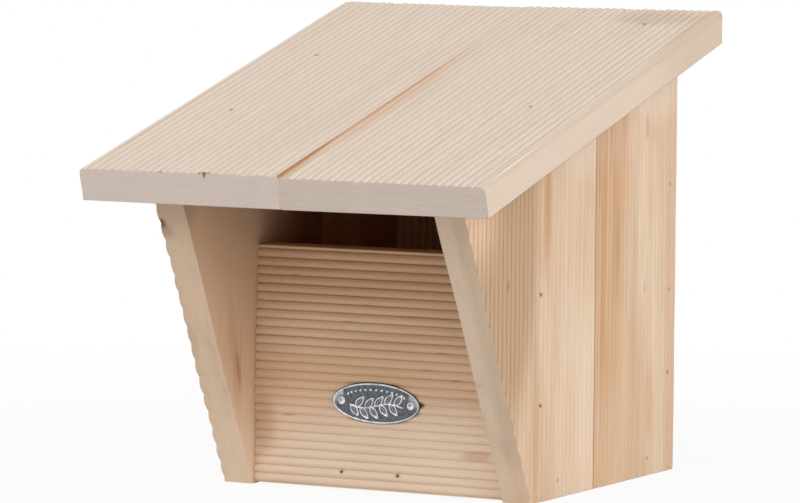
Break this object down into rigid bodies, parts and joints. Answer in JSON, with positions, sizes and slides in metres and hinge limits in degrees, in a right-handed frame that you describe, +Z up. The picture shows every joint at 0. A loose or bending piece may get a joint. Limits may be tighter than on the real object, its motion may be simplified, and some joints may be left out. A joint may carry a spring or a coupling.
{
  "type": "robin nest box",
  "caption": "Open-fronted wooden nest box for robins: sloping reeded roof, side walls leaning out at the front, half-height front panel with an oval plate, hanging hole in the back.",
  "frame": {"origin": "middle of the footprint, roof included, on the surface that the box stands on", "axes": "+X to the right seen from the front, +Y from the open front to the back that hangs on a wall, +Z up"},
  "size_m": [0.22, 0.268, 0.2365],
  "materials": {
    "roof_wood": "planed and reeded bare softwood, pale",
    "wall_wood": "planed and reeded bare softwood",
    "panel_wood": "planed and reeded bare softwood",
    "plate_metal": "pressed, dull field and bright rim",
    "brad_steel": "plain wire"
  },
  "bodies": {
    "root": {"roof_left_board": "roof_wood", "roof_right_board": "roof_wood", "left_rear_wall_board": "wall_wood", "left_front_wall_board": "wall_wood", "right_rear_wall_board": "wall_wood", "right_front_wall_board": "wall_wood", "front_panel": "panel_wood", "back_panel": "panel_wood", "floor_board": "panel_wood", "name_plate": "plate_metal", "name_plate_pins": "plate_metal", "roof_left_brads": "brad_steel", "roof_right_brads": "brad_steel", "front_panel_floor_brads": "brad_steel", "back_panel_floor_brads": "brad_steel", "left_wall_back_brads": "brad_steel", "left_wall_floor_brads": "brad_steel", "left_wall_front_brads": "brad_steel", "right_wall_back_brads": "brad_steel", "right_wall_floor_brads": "brad_steel", "right_wall_front_brads": "brad_steel"}
  },
  "joints": []
}
